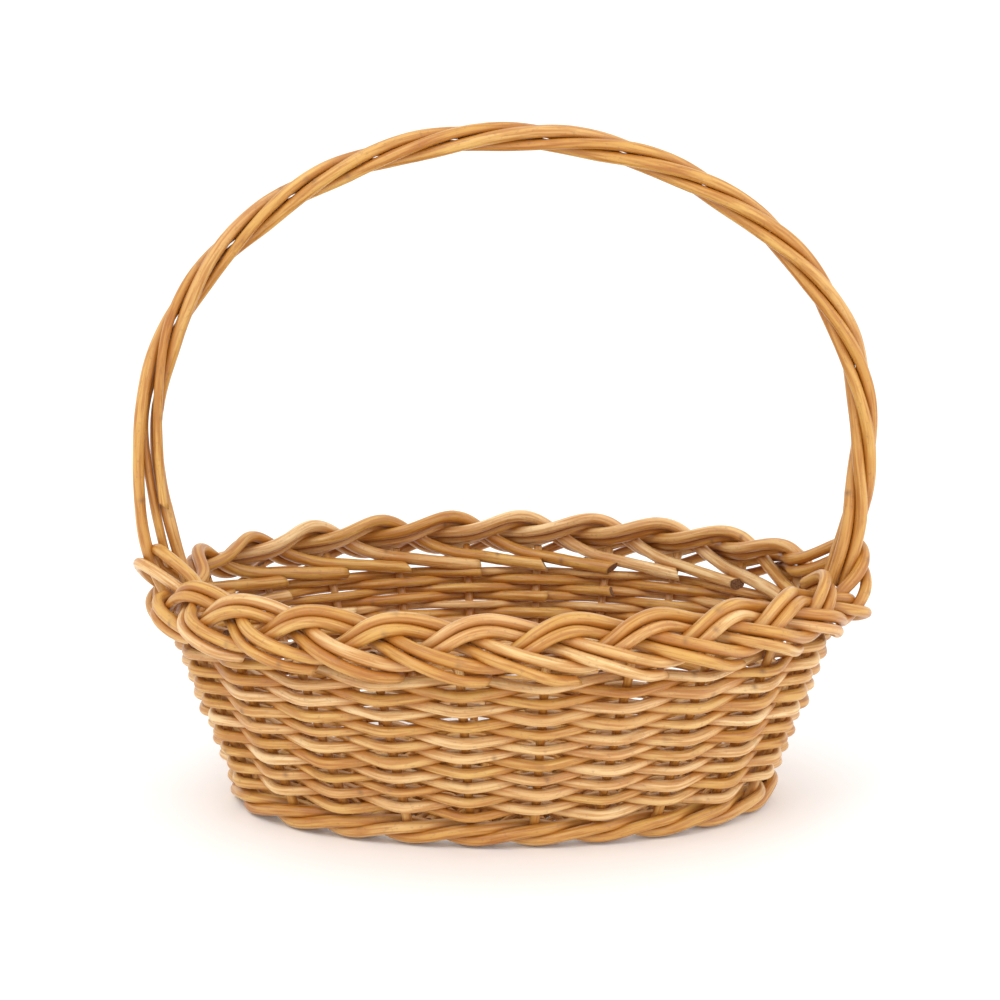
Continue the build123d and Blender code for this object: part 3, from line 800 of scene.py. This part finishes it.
for n in range(3):
    line = eased(wale_line(n), *WALE_EASE)
    line = above_floor(line, WALE_LOOK["butt_r"])
    plan(f"bottom_wale_rod_{n + 1}", "weave_willow",
         [dict(points=line, **WALE_LOOK)])

for n in range(ROW_COUNT):
    rods = []
    for line in row_lines(n):
        thick = rng.uniform(1 - ROW_SPREAD, 1 + ROW_SPREAD)
        line = eased(line, *ROW_EASE)
        rods.append(dict(points=line, butt_r=ROW_BUTT_R * thick, tip_r=ROW_TIP_R * thick,
                         **ROW_LOOK))
    plan(f"wall_row_{n + 1:02d}", "weave_willow", rods)

for n in range(HALF):
    rods = []
    for k in (n, n + HALF):
        thick = rng.uniform(BORDER_THIN, BORDER_THICKER)
        line = eased(border_lines[k], *BORDER_EASE)
        rods.append(dict(points=line, butt_r=BORDER_BUTT_R * thick, tip_r=BORDER_TIP_R * thick,
                         **BORDER_LOOK))
    plan(f"border_rod_pair_{n + 1:02d}", "border_willow", rods)

for n, (butt, tip) in enumerate(HANDLE_RADII):
    line = eased(handle_lines[n], *HANDLE_EASE)
    plan(f"handle_rod_{n + 1}", "handle_willow",
         [dict(points=line, butt_r=butt, tip_r=tip, tone=HANDLE_TONES[n], **HANDLE_LOOK)])

for n in (-1, 0, 1):
    line = supple(long_stick_line(n), *STICK_EASE)
    plan(f"base_long_stick_{n + 2}", "base_willow",
         [dict(points=line, **LONG_STICK_LOOK)])
for n in range(2, 6):
    rods = []
    for k in (n, HALF - n):
        line = supple(cross_stick_line(k), *STICK_EASE)
        rods.append(dict(points=line, **CROSS_STICK_LOOK))
    plan(f"base_cross_stick_pair_{n - 1}", "base_willow", rods)
for order in range(2):
    for n in range(BASE_RODS_EACH):
        line = supple(base_weaver_line(order, n * BASE_CROSSINGS), *WEAVER_EASE)
        plan(f"base_weaver_{order * BASE_RODS_EACH + n + 1}", "base_willow",
             [dict(points=line, **WEAVER_LOOK)])

crowding([rod for _, _, rods in pieces for rod in rods])
for node_name, slot, rods in pieces:
    mesh = RodMesh()
    for settings in rods:
        mesh.add(**settings)
    mesh.finish("willow_" + node_name, [node_name], skins[slot], cut)


# ---- studio ----
def flat_material(name, colour):
    material = bpy.data.materials.new(name)
    material.use_nodes = True
    shader = material.node_tree.nodes["Principled BSDF"]
    shader.inputs["Base Color"].default_value = (*colour, 1)
    shader.inputs["Roughness"].default_value = 0.9
    return material


FLOOR_HALF = 6.0
floor_mesh = bpy.data.meshes.new("studio_floor")
corners = [(-FLOOR_HALF, -FLOOR_HALF, 0), (FLOOR_HALF, -FLOOR_HALF, 0),
           (FLOOR_HALF, FLOOR_HALF, 0), (-FLOOR_HALF, FLOOR_HALF, 0)]
floor_mesh.from_pydata(corners, [], [(0, 1, 2, 3)])
floor_mesh.materials.append(flat_material("studio_floor", (0.97, 0.97, 0.97)))
floor = bpy.data.objects.new("studio_floor", floor_mesh)
bpy.context.scene.collection.objects.link(floor)

world = bpy.data.worlds.new("studio")
bpy.context.scene.world = world
world.use_nodes = True
world.node_tree.nodes["Background"].inputs["Color"].default_value = (1, 1, 1, 1)
world.node_tree.nodes["Background"].inputs["Strength"].default_value = 1.18


def softbox(name, place, target, size, power):
    light = bpy.data.lights.new(name, "AREA")
    light.size = size
    light.energy = power
    lamp = bpy.data.objects.new(name, light)
    bpy.context.scene.collection.objects.link(lamp)
    lamp.location = place
    lamp.rotation_mode = "QUATERNION"
    lamp.rotation_quaternion = (Vector(target) - Vector(place)).to_track_quat("-Z", "Y")


MIDDLE = (0, 0, 0.12)
softbox("key_light", (-0.9, -1.3, 1.9), MIDDLE, 0.9, 12)
softbox("fill_light", (1.6, -1.2, 1.2), MIDDLE, 1.2, 9)

CAMERA_PLACE = (-0.0014, -1.098, 0.402)
CAMERA_PITCH = 11.84
CAMERA_LENS = 72.54
camera_data = bpy.data.cameras.new("photo_camera")
camera_data.lens = CAMERA_LENS
camera_data.sensor_width = 36.0
camera_data.clip_start = 0.05
camera = bpy.data.objects.new("photo_camera", camera_data)
bpy.context.scene.collection.objects.link(camera)
camera.location = CAMERA_PLACE
camera.rotation_euler = (math.radians(90 - CAMERA_PITCH), 0, 0)
bpy.context.scene.camera = camera
bpy.context.scene.view_settings.view_transform = "Standard"
